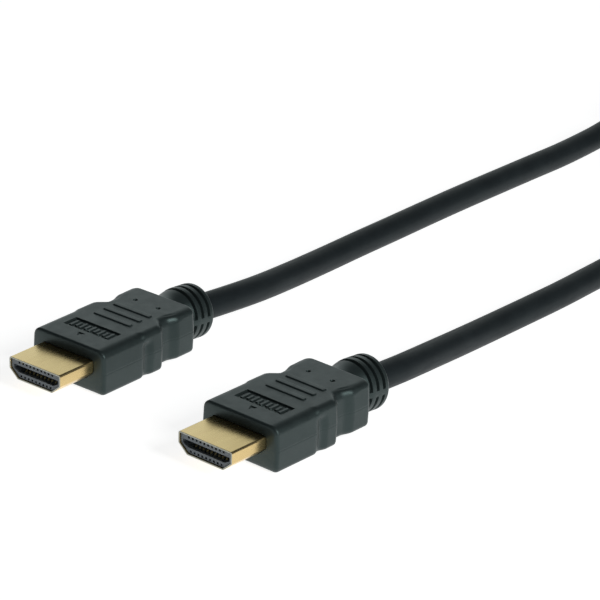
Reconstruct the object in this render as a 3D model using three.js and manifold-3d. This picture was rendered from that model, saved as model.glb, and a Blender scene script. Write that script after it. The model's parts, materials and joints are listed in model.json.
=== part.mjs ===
// An HDMI cable with two type A plugs, modelled with three.js in millimetres, +Z up.
// Both plugs lie side by side on a level floor with their mouths towards -Y. The cable leaves them
// towards +Y and its spare length is wound in a round coil, held by a strap.

import * as THREE from "three";
import { mergeVertices } from "three/addons/utils/BufferGeometryUtils.js";
import Module from "manifold-3d";

const wasm = await Module();
wasm.setup();

// The clearance between pieces that touch, and the overrun of a cutting tool past what it cuts.
const GAP = 0.08;
const OVERRUN = 1;

// The two-part overmould of a plug, from its front face at y = 0 and its underside at z = 0.
const GRIP_WIDTH = 19.4;
const GRIP_HEIGHT = 9.9;
const GRIP_LENGTH = 28.7;
const GRIP_EDGE = 1.2;
const GRIP_CORNER = GRIP_EDGE + 0.5;
const REAR_CORNER = GRIP_EDGE + 1;
const WAIST_CORNER = 1.1;
const WAIST_PLACE = 19.3;
const WAIST_DEPTH = 1.1;
const WAIST_RISE = 1.9;
const WAIST_RUNOUT = 3;
const REAR_INSET = 0.5;

// What is moulded in the top of the overmould.
const LABEL_WIDTH = 12.3;
const LABEL_LENGTH = 3.8;
const LABEL_PLACE = 7.1;
const LABEL_DEPTH = 0.35;
const RIB_COUNT = 3;
const RIB_PITCH = 2.9;
const FIRST_RIB = 13.3;
const RIB_LENGTH = 10;
const RIB_WIDTH = 1.2;
const RIB_RISE = 0.25;
const RIB_SINK = 0.6;
const DIMPLE_PLACE = 23.3;
const DIMPLE_SPACING = 6.3;
const DIMPLE_RADIUS = 0.45;
const DIMPLE_DEPTH = 0.5;
const DIMPLE_SIDES = 8;

// The ringed strain relief, moulded in one with the overmould. It sags a little to the floor.
const BOOT_RADIUS = 5.8;
const BOOT_LENGTH = 9.5;
const BOOT_ROOT = 2.7;
const BOOT_SAG = THREE.MathUtils.degToRad(5.2);
const BOOT_END_ROUND = 0.6;
const BOOT_SEGMENTS = 32;
const GROOVE_COUNT = 3;
const GROOVE_PITCH = 1.9;
const GROOVE_WIDTH = 1.0;
const GROOVE_DEPTH = 1.1;
const END_RING = 1.5;
const WEB_HEIGHT = 1.4;

// The sheet-metal shell: full width above, with its lower corners cut off at a slant.
const SHELL_WIDTH = 13.9;
const SHELL_HEIGHT = 4.45;
const SHELL_SIDE = 2.5;
const SHELL_BOTTOM_WIDTH = 9.4;
const SHELL_WALL = 0.3;
const SHELL_CORNER = 0.45;
const SHELL_INNER_CORNER = 0.15;
const SHELL_REACH = 9.5;
const SHELL_SEAT = 6;
const SHELL_MIDDLE = 5.1;

// The insulator in the shell, with its tongue slot and the cavities of its contacts.
const INSULATOR_SETBACK = 0.35;
const SLOT_WIDTH = 12.1;
const SLOT_HEIGHT = 1.5;
const SLOT_SIDE = 0.8;
const SLOT_BOTTOM_WIDTH = 9.6;
const SLOT_FLOOR = 1.6;
const SLOT_CORNER = 0.15;
const FRONT_WEB = 0.8;
const CAVITY_WIDTH = 0.6;
const CAVITY_OFFSET = 0.375;
const CAVITY_END_WALL = 0.7;
const HOLE_WIDTH = 0.5;
const HOLE_HEIGHT = 0.45;
const HOLE_OFFSET = 1.42;

// The spring contacts.
const CONTACT_COUNT = 19;
const ROW_PITCH = 1.0;
const CONTACT_WIDTH = 0.4;
const CONTACT_THICKNESS = 0.2;
const CONTACT_BOW = 0.2;
const BOW_START = 1.6;
const BOW_END = 3.2;
const BOW_RUN = 1.5;

// Where the plugs lie: across, along, and how far each is turned.
const PLUG_A_PLACE = [-23.58, -13.54];
const PLUG_B_PLACE = [24.09, -14.73];
const PLUG_A_TURN = THREE.MathUtils.degToRad(1.75);
const PLUGS = [
  { name: "plug_a", place: PLUG_A_PLACE, yaw: PLUG_A_TURN },
  { name: "plug_b", place: PLUG_B_PLACE, yaw: 0 },
];

// The cable, and the routes of its two uncoiled stretches from the plugs to the coil.
const CABLE_DIAMETER = 5.8;
const CABLE_RADIUS = CABLE_DIAMETER / 2;
const CABLE_SIDES = 10;
const STEP_LENGTH = 2.5 * CABLE_DIAMETER;
const ROUTE_A = [
  [-24.7, 24.75, 5.74], [-24.8, 32.4, 5.45], [-25.8, 44.5, 4.75], [-28, 57.5, 3.85],
  [-30.4, 71.3, 3.15], [-32.3, 85.4, 2.95], [-33.7, 98.9, 2.95], [-35.2, 112.6, 2.95],
  [-36.6, 126.6, 2.95], [-37.8, 140.8, 2.95], [-39, 155.3, 2.95], [-40.2, 170, 2.95],
  [-41.6, 184.4, 3.4], [-42.4, 191.5, 3.85], [-42.5, 197.7, 4],
];
const ROUTE_B = [
  [24.1, 23.55, 5.74], [23.8, 32.4, 5.5], [22.9, 39.3, 5.05], [21.7, 46.4, 4.45],
  [20.5, 53.8, 3.85], [19.3, 61.3, 3.3], [18.4, 68.4, 2.98], [17.4, 81.8, 2.95],
  [16.3, 95.8, 2.95], [14.6, 111, 2.95], [14.1, 120.9, 3.4], [15.1, 130.9, 4.2],
  [18.3, 141.4, 5.3], [23.2, 152.9, 6.6], [28.6, 164.9, 7.9], [33.4, 176.4, 9.1],
  [36.7, 187.4, 9.8], [37.3, 197.7, 9.9],
];

// The coil: two layers, the lower one wound inwards and the upper one outwards.
const COIL_CENTRE = [-2.6, 222];
const COIL_OUTER_TURN = 39.9;
const COIL_TURNS = 5.5;
const TURN_PITCH = CABLE_DIAMETER + 0.1;
const COIL_LIFT = 1.1;
const COIL_LEAD = 24;
const COIL_SEGMENTS = 64;

// The strap round the coil, on its far side.
const TIE_WIDTH = 10;
const TIE_THICKNESS = 0.9;
const TIE_GAP = 0.2;
const TIE_CORNER = 2;
const TIE_INNER_CORNER = 0.25;

const black = new THREE.MeshStandardMaterial({ color: 0x1b1f21, roughness: 0.42, metalness: 0 });
const sheath = new THREE.MeshStandardMaterial({ color: 0x171b1d, roughness: 0.38, metalness: 0 });
const gold = new THREE.MeshStandardMaterial({ color: 0xcdb37a, roughness: 0.22, metalness: 1 });
const resin = new THREE.MeshStandardMaterial({ color: 0x23282b, roughness: 0.5, metalness: 0 });
const plating = new THREE.MeshStandardMaterial({ color: 0xb89a4e, roughness: 0.3, metalness: 1 });
const webbing = new THREE.MeshStandardMaterial({ color: 0x1a1a1c, roughness: 0.85, metalness: 0 });

/** Turns a closed three.js geometry into a solid that can be joined and cut. */
function solid(geometry) {
  const plain = geometry.clone();
  plain.deleteAttribute("normal");
  plain.deleteAttribute("uv");
  const merged = mergeVertices(plain, 1e-4);
  return new wasm.Manifold(new wasm.Mesh({
    numProp: 3,
    vertProperties: new Float32Array(merged.attributes.position.array),
    triVerts: new Uint32Array(merged.index.array),
  }));
}

/** Turns a solid back into a geometry with flat-shaded normals. */
function geometryOf(body) {
  const mesh = body.getMesh();
  const geometry = new THREE.BufferGeometry();
  geometry.setAttribute("position", new THREE.BufferAttribute(new Float32Array(mesh.vertProperties), 3));
  geometry.setIndex(new THREE.BufferAttribute(new Uint32Array(mesh.triVerts), 1));
  geometry.computeVertexNormals();
  return geometry;
}

/** A box between two corners. */
function box(low, high) {
  const size = high.map((value, axis) => value - low[axis]);
  const geometry = new THREE.BoxGeometry(...size);
  return geometry.translate(...low.map((value, axis) => value + size[axis] / 2));
}

/** Moves each edge of a counter-clockwise outline inwards by a distance. */
function inset(corners, distance) {
  const count = corners.length;
  const edges = corners.map(([x, y], i) => {
    const [nextX, nextY] = corners[(i + 1) % count];
    const length = Math.hypot(nextX - x, nextY - y);
    const along = [(nextX - x) / length, (nextY - y) / length];
    return { along, start: [x - along[1] * distance, y + along[0] * distance] };
  });
  return edges.map((edge, i) => {
    const before = edges[(i + count - 1) % count];
    const cross = before.along[0] * edge.along[1] - before.along[1] * edge.along[0];
    const dx = edge.start[0] - before.start[0];
    const dy = edge.start[1] - before.start[1];
    const reach = (dx * edge.along[1] - dy * edge.along[0]) / cross;
    return [before.start[0] + before.along[0] * reach, before.start[1] + before.along[1] * reach];
  });
}

/** An outline through corners, each rounded by an arc of its own radius. */
function rounded(corners, radii) {
  const shape = new THREE.Shape();
  const count = corners.length;
  corners.forEach((corner, i) => {
    const here = new THREE.Vector2(...corner);
    const back = new THREE.Vector2(...corners[(i + count - 1) % count]).sub(here).normalize();
    const ahead = new THREE.Vector2(...corners[(i + 1) % count]).sub(here).normalize();
    const halfAngle = Math.acos(back.dot(ahead)) / 2;
    const cut = radii[i] / Math.tan(halfAngle);
    const enter = here.clone().addScaledVector(back, cut);
    const leave = here.clone().addScaledVector(ahead, cut);
    const middle = back.clone().add(ahead).normalize();
    const centre = here.clone().addScaledVector(middle, radii[i] / Math.sin(halfAngle));
    const clockwise = back.cross(ahead) > 0;
    if (i === 0) shape.moveTo(enter.x, enter.y);
    const from = enter.sub(centre).angle();
    const to = leave.sub(centre).angle();
    shape.absarc(centre.x, centre.y, radii[i], from, to, clockwise);
  });
  shape.closePath();
  return shape;
}

/** Extrudes an outline drawn in X and Z along Y, between two places on it. */
function alongY(shape, from, to, curveSegments = 3) {
  const geometry = new THREE.ExtrudeGeometry(shape, { depth: to - from, bevelEnabled: false, curveSegments });
  return geometry.rotateX(Math.PI / 2).translate(0, to, 0);
}

/** The corners of the shell's section, counter-clockwise, about its middle. */
function shellCorners() {
  const side = SHELL_WIDTH / 2;
  const foot = SHELL_BOTTOM_WIDTH / 2;
  const top = SHELL_HEIGHT / 2;
  const slant = top - SHELL_SIDE;
  return [[-foot, -top], [foot, -top], [side, slant], [side, top], [-side, top], [-side, slant]];
}

/** A closed outline of the shell's section, moved inwards by a distance. */
function shellOutline(distance) {
  const corner = Math.max(SHELL_CORNER - distance, SHELL_INNER_CORNER);
  return rounded(inset(shellCorners(), distance), shellCorners().map(() => corner));
}

/** The outline of the overmould seen from above, with a waist in each side. */
function gripOutline() {
  const half = GRIP_WIDTH / 2;
  const rear = half - REAR_INSET;
  const waist = half - WAIST_DEPTH;
  const side = [
    [half, 0, GRIP_CORNER],
    [half, WAIST_PLACE - WAIST_RISE, GRIP_CORNER],
    [waist, WAIST_PLACE, WAIST_CORNER],
    [rear, WAIST_PLACE + WAIST_RUNOUT, GRIP_CORNER],
    [rear, GRIP_LENGTH, REAR_CORNER],
  ];
  const other = side.map(([x, y, radius]) => [-x, y, radius]).reverse();
  const all = [...side, ...other];
  return rounded(all.map(([x, y]) => [x, y]), all.map(([, , radius]) => radius));
}

/** The strain relief: a turned root and body with rings, and a web left on each side of its grooves. */
function bootSolid() {
  const end = BOOT_ROOT + BOOT_LENGTH;
  const profile = [
    [0, 0], [BOOT_RADIUS - GROOVE_DEPTH, 0], [BOOT_RADIUS, GROOVE_DEPTH],
    [BOOT_RADIUS, end - BOOT_END_ROUND], [BOOT_RADIUS - BOOT_END_ROUND, end], [0, end],
  ];
  const turned = new THREE.LatheGeometry(profile.map(([r, y]) => new THREE.Vector2(r, y)), BOOT_SEGMENTS);
  let boot = solid(turned);
  const webs = solid(box(
    [-BOOT_RADIUS - OVERRUN, 0, -WEB_HEIGHT / 2],
    [BOOT_RADIUS + OVERRUN, end, WEB_HEIGHT / 2],
  ));
  for (let i = 0; i < GROOVE_COUNT; i += 1) {
    const from = end - END_RING - GROOVE_WIDTH - i * GROOVE_PITCH;
    const section = [
      [BOOT_RADIUS - GROOVE_DEPTH, from], [BOOT_RADIUS + OVERRUN, from],
      [BOOT_RADIUS + OVERRUN, from + GROOVE_WIDTH], [BOOT_RADIUS - GROOVE_DEPTH, from + GROOVE_WIDTH],
      [BOOT_RADIUS - GROOVE_DEPTH, from],
    ];
    const outline = section.map(([r, y]) => new THREE.Vector2(r, y));
    const ring = solid(new THREE.LatheGeometry(outline, BOOT_SEGMENTS));
    boot = boot.subtract(ring.subtract(webs));
  }
  return boot;
}

/** Where a point of the strain relief lies in the plug, from its place along and below the boot's axis. */
function bootPoint(along, below) {
  const y = GRIP_LENGTH - BOOT_ROOT + along * Math.cos(BOOT_SAG) - below * Math.sin(BOOT_SAG);
  const z = GRIP_HEIGHT / 2 - along * Math.sin(BOOT_SAG) - below * Math.cos(BOOT_SAG);
  return { y, z };
}

/** The overmould with its strain relief, seat for the shell, label recess, ribs and dimples. */
function gripGeometry() {
  const body = new THREE.ExtrudeGeometry(gripOutline(), {
    depth: GRIP_HEIGHT - 2 * GRIP_EDGE,
    bevelThickness: GRIP_EDGE,
    bevelSize: GRIP_EDGE,
    bevelOffset: -GRIP_EDGE,
    bevelSegments: 2,
    curveSegments: 4,
  }).translate(0, 0, GRIP_EDGE);
  const boot = bootSolid()
    .rotate([-THREE.MathUtils.radToDeg(BOOT_SAG), 0, 0])
    .translate([0, GRIP_LENGTH - BOOT_ROOT, GRIP_HEIGHT / 2]);
  let grip = solid(body).add(boot);
  const seat = alongY(shellOutline(-GAP), -OVERRUN, SHELL_SEAT + GAP).translate(0, 0, SHELL_MIDDLE);
  grip = grip.subtract(solid(seat));
  grip = grip.subtract(solid(box(
    [-LABEL_WIDTH / 2, LABEL_PLACE - LABEL_LENGTH / 2, GRIP_HEIGHT - LABEL_DEPTH],
    [LABEL_WIDTH / 2, LABEL_PLACE + LABEL_LENGTH / 2, GRIP_HEIGHT + OVERRUN],
  )));
  for (let i = 0; i < RIB_COUNT; i += 1) {
    const middle = FIRST_RIB + i * RIB_PITCH;
    grip = grip.add(solid(box(
      [-RIB_LENGTH / 2, middle - RIB_WIDTH / 2, GRIP_HEIGHT - RIB_SINK],
      [RIB_LENGTH / 2, middle + RIB_WIDTH / 2, GRIP_HEIGHT + RIB_RISE],
    )));
  }
  for (const side of [-1, 1]) {
    const depth = DIMPLE_DEPTH + OVERRUN;
    const pit = new THREE.CylinderGeometry(DIMPLE_RADIUS, DIMPLE_RADIUS, depth, DIMPLE_SIDES)
      .rotateX(Math.PI / 2)
      .translate(side * DIMPLE_SPACING / 2, DIMPLE_PLACE, GRIP_HEIGHT - DIMPLE_DEPTH + depth / 2);
    grip = grip.subtract(solid(pit));
  }
  return geometryOf(grip);
}

/** The shell: a bent sheet tube that stands in the overmould's seat. */
function shellGeometry() {
  const outline = shellOutline(0);
  outline.holes.push(shellOutline(SHELL_WALL));
  return alongY(outline, -SHELL_REACH, SHELL_SEAT).translate(0, 0, SHELL_MIDDLE);
}

/** The places of the contacts: ten above the slot, nine below it between them. */
function contactPlaces() {
  const above = Math.ceil(CONTACT_COUNT / 2);
  return Array.from({ length: CONTACT_COUNT }, (_, i) => {
    const upper = i < above;
    const inRow = upper ? above : CONTACT_COUNT - above;
    const index = upper ? i : i - above;
    return { x: (index - (inRow - 1) / 2) * ROW_PITCH, side: upper ? 1 : -1 };
  });
}

const INSULATOR_FRONT = -SHELL_REACH + INSULATOR_SETBACK;
const INSULATOR_BACK = SHELL_SEAT;

/** A box given by its reach above the slot's middle, flipped below it for the lower row. */
function rowBox(x, side, width, fromY, toY, near, far) {
  const heights = [SHELL_MIDDLE + side * near, SHELL_MIDDLE + side * far].sort((a, b) => a - b);
  return box([x - width / 2, fromY, heights[0]], [x + width / 2, toY, heights[1]]);
}

/** The insulator: fills the shell, with the tongue slot, the contact cavities and their front holes. */
function insulatorGeometry() {
  let block = solid(alongY(shellOutline(SHELL_WALL + GAP), INSULATOR_FRONT, INSULATOR_BACK)
    .translate(0, 0, SHELL_MIDDLE));
  const top = SLOT_HEIGHT / 2;
  const side = SLOT_WIDTH / 2;
  const foot = SLOT_BOTTOM_WIDTH / 2;
  const slotCorners = [
    [-foot, -top], [foot, -top], [side, top - SLOT_SIDE], [side, top], [-side, top], [-side, top - SLOT_SIDE],
  ];
  const slot = alongY(rounded(slotCorners, slotCorners.map(() => SLOT_CORNER)), INSULATOR_FRONT - OVERRUN,
    INSULATOR_BACK - SLOT_FLOOR, 2).translate(0, 0, SHELL_MIDDLE);
  block = block.subtract(solid(slot));
  for (const place of contactPlaces()) {
    const outer = HOLE_OFFSET + HOLE_HEIGHT / 2;
    const cavity = rowBox(place.x, place.side, CAVITY_WIDTH, INSULATOR_FRONT + FRONT_WEB,
      INSULATOR_BACK - CAVITY_END_WALL, CAVITY_OFFSET, outer);
    const hole = rowBox(place.x, place.side, HOLE_WIDTH, INSULATOR_FRONT - OVERRUN,
      INSULATOR_FRONT + FRONT_WEB + GAP, HOLE_OFFSET - HOLE_HEIGHT / 2, outer);
    block = block.subtract(solid(cavity)).subtract(solid(hole));
  }
  return geometryOf(block);
}

/** A spring contact: a strip in its cavity whose bow stands into the slot. */
function contactGeometry(place) {
  const seat = HOLE_OFFSET + HOLE_HEIGHT / 2 - GAP - CONTACT_THICKNESS / 2;
  const bow = SLOT_HEIGHT / 2 - CONTACT_BOW;
  const front = INSULATOR_FRONT + FRONT_WEB + GAP;
  const path = [
    [front, seat], [front + BOW_START, bow], [front + BOW_END, bow],
    [front + BOW_END + BOW_RUN, seat], [INSULATOR_BACK - CAVITY_END_WALL - GAP, seat],
  ];
  const half = CONTACT_THICKNESS / 2;
  const lower = path.map(([y, z]) => [y, z - half]);
  const upper = path.map(([y, z]) => [y, z + half]).reverse();
  const shape = new THREE.Shape([...lower, ...upper].map(([y, z]) => new THREE.Vector2(y, z)));
  const strip = new THREE.ExtrudeGeometry(shape, { depth: CONTACT_WIDTH, bevelEnabled: false })
    .rotateX(Math.PI / 2)
    .rotateZ(Math.PI / 2)
    .translate(place.x - CONTACT_WIDTH / 2, 0, 0);
  if (place.side < 0) strip.rotateY(Math.PI).translate(2 * place.x, 0, 0);
  return strip.translate(0, 0, SHELL_MIDDLE);
}

/** A named mesh. */
function mesh(name, geometry, material) {
  const part = new THREE.Mesh(geometry, material);
  part.name = name;
  return part;
}

/** One plug, lying on its front lower edge and on the end of its strain relief. */
function plug({ name, place, yaw }) {
  const low = bootPoint(BOOT_ROOT + BOOT_LENGTH - BOOT_END_ROUND, BOOT_RADIUS);
  const pitch = Math.atan2(-low.z, low.y - GRIP_EDGE);
  const nose = new THREE.Group();
  nose.rotation.x = pitch;
  nose.position.z = -GRIP_EDGE * Math.sin(pitch);
  nose.add(mesh(`${name}_grip`, gripGeometry(), black));
  nose.add(mesh(`${name}_shell`, shellGeometry(), gold));
  nose.add(mesh(`${name}_insulator`, insulatorGeometry(), resin));
  contactPlaces().forEach((spot, i) => {
    const number = String(i + 1).padStart(2, "0");
    nose.add(mesh(`${name}_contact_${number}`, contactGeometry(spot), plating));
  });
  const group = new THREE.Group();
  group.position.set(...place, 0);
  group.rotation.z = yaw;
  group.add(nose);
  return group;
}

/** A plain round tube along a route. */
function cordGeometry(route) {
  const points = route.map((point) => new THREE.Vector3(...point));
  const curve = new THREE.CatmullRomCurve3(points, false, "centripetal");
  const section = new THREE.Shape(Array.from({ length: CABLE_SIDES }, (_, i) => {
    const angle = (2 * Math.PI * i) / CABLE_SIDES;
    return new THREE.Vector2(CABLE_RADIUS * Math.cos(angle), CABLE_RADIUS * Math.sin(angle));
  }));
  return new THREE.ExtrudeGeometry(section, {
    steps: Math.ceil(curve.getLength() / STEP_LENGTH),
    extrudePath: curve,
    bevelEnabled: false,
  });
}

const COIL_INNER_TURN = COIL_OUTER_TURN - (COIL_TURNS / 2) * TURN_PITCH;
const COIL_OUTSIDE = COIL_OUTER_TURN + CABLE_RADIUS;
const COIL_INSIDE = COIL_INNER_TURN - CABLE_RADIUS;
const COIL_HEIGHT = CABLE_DIAMETER + TURN_PITCH;

/** The coil's outer form: a ring, with the straight lead of each layer on its two sides. */
function coilGeometry() {
  const section = [
    [COIL_INSIDE, 0], [COIL_OUTSIDE, 0], [COIL_OUTSIDE, COIL_HEIGHT], [COIL_INSIDE, COIL_HEIGHT],
    [COIL_INSIDE, 0],
  ];
  const ring = new THREE.LatheGeometry(section.map(([r, z]) => new THREE.Vector2(r, z)), COIL_SEGMENTS)
    .rotateX(Math.PI / 2);
  let coil = solid(ring);
  for (const [side, height] of [[-1, CABLE_RADIUS], [1, CABLE_RADIUS + TURN_PITCH]]) {
    const lead = new THREE.CylinderGeometry(CABLE_RADIUS, CABLE_RADIUS, COIL_LEAD, CABLE_SIDES)
      .translate(side * COIL_OUTER_TURN, -COIL_LEAD / 2, height);
    coil = coil.add(solid(lead));
  }
  return geometryOf(coil).translate(...COIL_CENTRE, COIL_LIFT);
}

/** The strap: a flat closed loop round the coil's section. */
function tieGeometry() {
  const sag = COIL_INSIDE - Math.sqrt(COIL_INSIDE ** 2 - (TIE_WIDTH / 2) ** 2);
  const near = COIL_INSIDE - sag - TIE_GAP;
  const far = COIL_OUTSIDE + TIE_GAP;
  const low = COIL_LIFT - TIE_GAP;
  const high = COIL_LIFT + COIL_HEIGHT + TIE_GAP;
  const hollow = [[near, low], [far, low], [far, high], [near, high]];
  const outline = rounded(inset(hollow, -TIE_THICKNESS), hollow.map(() => TIE_CORNER));
  outline.holes.push(rounded(hollow, hollow.map(() => TIE_INNER_CORNER)));
  return new THREE.ExtrudeGeometry(outline, { depth: TIE_WIDTH, bevelEnabled: false, curveSegments: 3 })
    .rotateX(Math.PI / 2)
    .rotateZ(Math.PI / 2)
    .translate(COIL_CENTRE[0] - TIE_WIDTH / 2, COIL_CENTRE[1], 0);
}

const cable = new THREE.Group();
for (const lying of PLUGS) cable.add(plug(lying));
cable.add(mesh("cable_run_a", cordGeometry(ROUTE_A), sheath));
cable.add(mesh("cable_run_b", cordGeometry(ROUTE_B), sheath));
cable.add(mesh("cable_coil", coilGeometry(), sheath));
cable.add(mesh("coil_tie", tieGeometry(), webbing));

export default cable;
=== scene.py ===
"""Dresses an HDMI cable: two gold-plated plugs in moulded grips, and the black cable between them.

Sizes are in millimetres in each class and become metres when a mesh is placed in the part's frame.
"""

from __future__ import annotations

import json
import logging
import math
from dataclasses import dataclass
from enum import Enum

import bmesh
import bpy
import numpy as np
from mathutils import Matrix, Vector

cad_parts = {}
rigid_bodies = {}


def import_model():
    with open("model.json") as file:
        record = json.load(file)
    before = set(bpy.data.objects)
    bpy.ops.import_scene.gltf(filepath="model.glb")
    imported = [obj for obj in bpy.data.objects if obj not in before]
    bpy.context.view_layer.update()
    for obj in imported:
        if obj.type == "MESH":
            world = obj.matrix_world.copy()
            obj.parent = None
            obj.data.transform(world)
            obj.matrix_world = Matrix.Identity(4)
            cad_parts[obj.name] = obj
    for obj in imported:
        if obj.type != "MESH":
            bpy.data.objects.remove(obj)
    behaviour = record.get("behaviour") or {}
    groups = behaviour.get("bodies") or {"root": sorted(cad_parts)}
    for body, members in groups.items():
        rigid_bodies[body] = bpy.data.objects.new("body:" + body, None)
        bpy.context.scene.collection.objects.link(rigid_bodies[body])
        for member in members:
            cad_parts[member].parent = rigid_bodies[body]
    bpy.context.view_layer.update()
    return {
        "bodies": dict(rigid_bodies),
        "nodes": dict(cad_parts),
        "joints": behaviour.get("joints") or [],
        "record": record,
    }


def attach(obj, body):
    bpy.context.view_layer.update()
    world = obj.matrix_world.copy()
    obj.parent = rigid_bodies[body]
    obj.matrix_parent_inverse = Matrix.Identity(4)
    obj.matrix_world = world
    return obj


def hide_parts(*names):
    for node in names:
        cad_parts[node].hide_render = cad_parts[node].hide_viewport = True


LOG = logging.getLogger("cable")
MM = 0.001
BODY = "root"
COIL_CENTRE = (-2.6, 222.0)
LEAST_GAP = 0.012
CURVE_STEPS = 24
WELD = 1e-5
NOISE_ROUGHNESS = 0.6
NOISE_RANGE = (0.3, 0.7)
TINT_RANGE = (0.35, 0.65)


def smooth(value: np.ndarray, start: float, end: float) -> np.ndarray:
    """Eases from 0 at start to 1 at end.

    Args:
        value: Where to read the curve.
        start: The place that gives 0.
        end: The place that gives 1.

    Returns:
        The eased share, between 0 and 1.
    """
    share = np.clip((value - start) / (end - start), 0.0, 1.0)
    return share * share * (3.0 - 2.0 * share)


def ramp(value: np.ndarray, edge: float, run: float) -> np.ndarray:
    """A straight ramp from 0 to 1 whose middle is at edge.

    Args:
        value: Where to read the ramp.
        edge: The middle of the ramp.
        run: The ramp's width.

    Returns:
        The share, between 0 and 1.
    """
    return np.clip((value - edge) / run + 0.5, 0.0, 1.0)


def plateau(value: np.ndarray, low: float, high: float, run: float) -> np.ndarray:
    """1 between low and high and 0 outside, with a ramp of width run at each end."""
    return ramp(value, low, run) * (1.0 - ramp(value, high, run))


def round_over(distance: np.ndarray, radius: float) -> np.ndarray:
    """How far a rounded edge stands back at a distance from the face that it leads to."""
    part = np.clip(1.0 - distance / radius, 0.0, 1.0)
    return radius * (1.0 - np.sqrt(1.0 - part * part))


def eased(value: np.ndarray, first: float, *changes: tuple) -> np.ndarray:
    """A size that begins at first and eases by each change between the change's start and end.

    Args:
        value: The place along the piece.
        first: The size at its front.
        changes: Each change's amount, its start and its end.

    Returns:
        The size at that place.
    """
    return first + sum(amount * smooth(value, start, end) for amount, start, end in changes)


def lines(start: float, end: float, pitch: float, marks: list[float], fine: list[tuple]) -> np.ndarray:
    """Chooses where the lines of a mesh run, with closer ones at edges and small details.

    Args:
        start: The first line.
        end: The last line.
        pitch: The widest space between lines.
        marks: Places that need a line of their own.
        fine: Spans with closer lines, each as its low end, its high end and its pitch.

    Returns:
        The places of all the lines, in order.
    """
    places = {start, end, *marks}
    for low, high, step in fine:
        places |= set(np.linspace(low, high, max(2, round((high - low) / step) + 1)).tolist())
    kept = []
    for place in sorted(p for p in places if start <= p <= end):
        if not kept or place - kept[-1] > LEAST_GAP:
            kept.append(place)
    kept[-1] = end
    full = [kept[0]]
    for place in kept[1:]:
        count = math.ceil((place - full[-1]) / pitch)
        full.extend(np.linspace(full[-1], place, count + 1)[1:].tolist())
    return np.array(full)


def route(points: list[tuple], step: float) -> np.ndarray:
    """A centripetal Catmull-Rom curve through points.

    Args:
        points: The points that the curve passes through, in mm.
        step: The distance between the points returned.

    Returns:
        Points along the curve, evenly spaced.
    """
    fixed = np.array(points, float)
    ends = [2 * fixed[0] - fixed[1], *fixed, 2 * fixed[-1] - fixed[-2]]
    dense = []
    for p0, p1, p2, p3 in zip(ends, ends[1:], ends[2:], ends[3:]):
        knots = [0.0]
        for a, b in ((p0, p1), (p1, p2), (p2, p3)):
            knots.append(knots[-1] + max(float(np.linalg.norm(b - a)), 1e-6) ** 0.5)
        t0, t1, t2, t3 = knots
        for t in np.linspace(t1, t2, CURVE_STEPS + 1)[:-1]:
            a1 = (t1 - t) / (t1 - t0) * p0 + (t - t0) / (t1 - t0) * p1
            a2 = (t2 - t) / (t2 - t1) * p1 + (t - t1) / (t2 - t1) * p2
            a3 = (t3 - t) / (t3 - t2) * p2 + (t - t2) / (t3 - t2) * p3
            b1 = (t2 - t) / (t2 - t0) * a1 + (t - t0) / (t2 - t0) * a2
            b2 = (t3 - t) / (t3 - t1) * a2 + (t - t1) / (t3 - t1) * a3
            dense.append((t2 - t) / (t2 - t1) * b1 + (t - t1) / (t2 - t1) * b2)
    dense.append(fixed[-1])
    return evenly(np.array(dense), step)


def evenly(points: np.ndarray, step: float) -> np.ndarray:
    """The same line with its points a step apart."""
    run = np.concatenate([[0.0], np.cumsum(np.linalg.norm(np.diff(points, axis=0), axis=1))])
    count = max(2, round(run[-1] / step) + 1)
    places = np.linspace(0.0, run[-1], count)
    return np.stack([np.interp(places, run, points[:, k]) for k in range(3)], 1)


def add_object(name: str, data: bpy.types.ID) -> bpy.types.Object:
    """A new object in the scene."""
    made = bpy.data.objects.new(name, data)
    bpy.context.scene.collection.objects.link(made)
    return made


def mesh_object(name: str, points: np.ndarray, faces: list[tuple]) -> bpy.types.Object:
    """A new object from points and faces."""
    mesh = bpy.data.meshes.new(name)
    mesh.from_pydata([tuple(p) for p in points], [], faces)
    mesh.update()
    return add_object(name, mesh)


def grid_faces(rows: int, columns: int) -> list[tuple]:
    """The four-sided faces of a grid of points whose rows each close on themselves.

    Args:
        rows: How many rows of points.
        columns: How many points in a row.

    Returns:
        The faces, as tuples of point numbers.
    """
    faces = []
    for here in range(0, (rows - 1) * columns, columns):
        above = here + columns
        for c in range(columns):
            d = (c + 1) % columns
            faces.append((here + c, here + d, above + d, above + c))
    return faces


def finish_mesh(piece: bpy.types.Object, place: Matrix, sharp: float) -> None:
    """Puts a mesh in its place, turns its faces outwards and shades it smooth.

    Args:
        piece: The object whose mesh is finished.
        place: The mesh's place in the part's frame.
        sharp: Edges that bend more than this many degrees stay sharp.
    """
    build = bmesh.new()
    build.from_mesh(piece.data)
    bmesh.ops.remove_doubles(build, verts=build.verts, dist=WELD)
    bmesh.ops.recalc_face_normals(build, faces=build.faces)
    build.to_mesh(piece.data)
    build.free()
    piece.data.transform(place)
    piece.data.shade_smooth()
    piece.data.set_sharp_from_angle(angle=math.radians(sharp))
    piece.data.update()


def dress(piece: bpy.types.Object, *materials: bpy.types.Material) -> None:
    """Gives a piece its materials in order."""
    piece.data.materials.clear()
    for material in materials:
        piece.data.materials.append(material)


def settle(piece: bpy.types.Object, nodes: list[str]) -> None:
    """Rides a finished piece on the body, and hides the nodes that it stands for."""
    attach(piece, BODY)
    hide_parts(*nodes)
    LOG.info("%s: %d faces", piece.name, len(piece.data.polygons))


def set_ramp(ramp: bpy.types.ColorRamp, places: tuple, colours: tuple) -> None:
    """Sets the two ends of a colour ramp."""
    for element, place, colour in zip(ramp.elements, places, colours):
        element.position = place
        element.color = (*colour, 1)


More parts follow.
